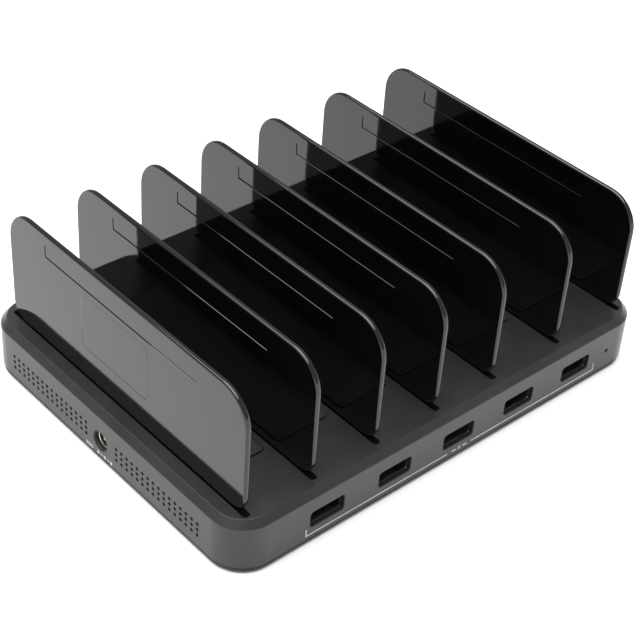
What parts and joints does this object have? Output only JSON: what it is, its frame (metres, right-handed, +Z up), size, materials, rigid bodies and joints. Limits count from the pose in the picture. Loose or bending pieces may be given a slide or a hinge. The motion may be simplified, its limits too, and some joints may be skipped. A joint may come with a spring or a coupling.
{
  "type": "desktop usb charging station",
  "caption": "Low rectangular charging base with a row of USB-A outlets along the front and upright push-in dividers forming device bays.",
  "frame": {"origin": "on the table plane, under the middle of the base", "axes": "+X along the row of outlets towards the status light end, -Y out of the outlet face, +Z up"},
  "size_m": [0.183, 0.135, 0.0648],
  "materials": {
    "cover": "satin fine texture",
    "underside": "matt",
    "divider": "polished",
    "pad": "matt",
    "foot": "matt",
    "nickel": "dark nickel plated",
    "insulator": "moulded",
    "brass": "plated pin",
    "board": "solder mask",
    "steel": "zinc plated",
    "lamp": "clear moulding"
  },
  "bodies": {
    "base": {"top_cover": "cover", "bottom_cover": "underside", "bay_pad_1": "pad", "bay_pad_2": "pad", "bay_pad_3": "pad", "bay_pad_4": "pad", "bay_pad_5": "pad", "bay_pad_6": "pad", "usb_shell_1": "nickel", "usb_tongue_1": "insulator", "usb_shell_2": "nickel", "usb_tongue_2": "insulator", "usb_shell_3": "nickel", "usb_tongue_3": "insulator", "usb_shell_4": "nickel", "usb_tongue_4": "insulator", "usb_shell_5": "nickel", "usb_tongue_5": "insulator", "dc_jack_housing": "insulator", "dc_jack_pin": "brass", "main_board": "board", "power_coil_1": "insulator", "power_coil_2": "insulator", "filter_capacitor_1": "steel", "filter_capacitor_2": "steel", "charge_chip_1": "insulator", "charge_chip_2": "insulator", "charge_chip_3": "insulator", "charge_chip_4": "insulator", "charge_chip_5": "insulator", "light_pipe": "lamp", "status_light": "lamp", "case_screw_1": "steel", "case_screw_2": "steel", "case_screw_3": "steel", "case_screw_4": "steel", "board_screw_1": "steel", "board_screw_2": "steel", "board_screw_3": "steel", "board_screw_4": "steel", "rubber_foot_1": "foot", "rubber_foot_2": "foot", "rubber_foot_3": "foot", "rubber_foot_4": "foot"},
    "divider_1_body": {"divider_1": "divider"},
    "divider_2_body": {"divider_2": "divider"},
    "divider_3_body": {"divider_3": "divider"},
    "divider_4_body": {"divider_4": "divider"},
    "divider_5_body": {"divider_5": "divider"},
    "divider_6_body": {"divider_6": "divider"},
    "divider_7_body": {"divider_7": "divider"}
  },
  "joints": [
    {"name": "divider_1_pull", "type": "slide", "parent": "base", "child": "divider_1_body", "axis": [0, 0, 1], "range_m": [0, 0.012]},
    {"name": "divider_2_pull", "type": "slide", "parent": "base", "child": "divider_2_body", "axis": [0, 0, 1], "range_m": [0, 0.012]},
    {"name": "divider_3_pull", "type": "slide", "parent": "base", "child": "divider_3_body", "axis": [0, 0, 1], "range_m": [0, 0.012]},
    {"name": "divider_4_pull", "type": "slide", "parent": "base", "child": "divider_4_body", "axis": [0, 0, 1], "range_m": [0, 0.012]},
    {"name": "divider_5_pull", "type": "slide", "parent": "base", "child": "divider_5_body", "axis": [0, 0, 1], "range_m": [0, 0.012]},
    {"name": "divider_6_pull", "type": "slide", "parent": "base", "child": "divider_6_body", "axis": [0, 0, 1], "range_m": [0, 0.012]},
    {"name": "divider_7_pull", "type": "slide", "parent": "base", "child": "divider_7_body", "axis": [0, 0, 1], "range_m": [0, 0.012]}
  ]
}
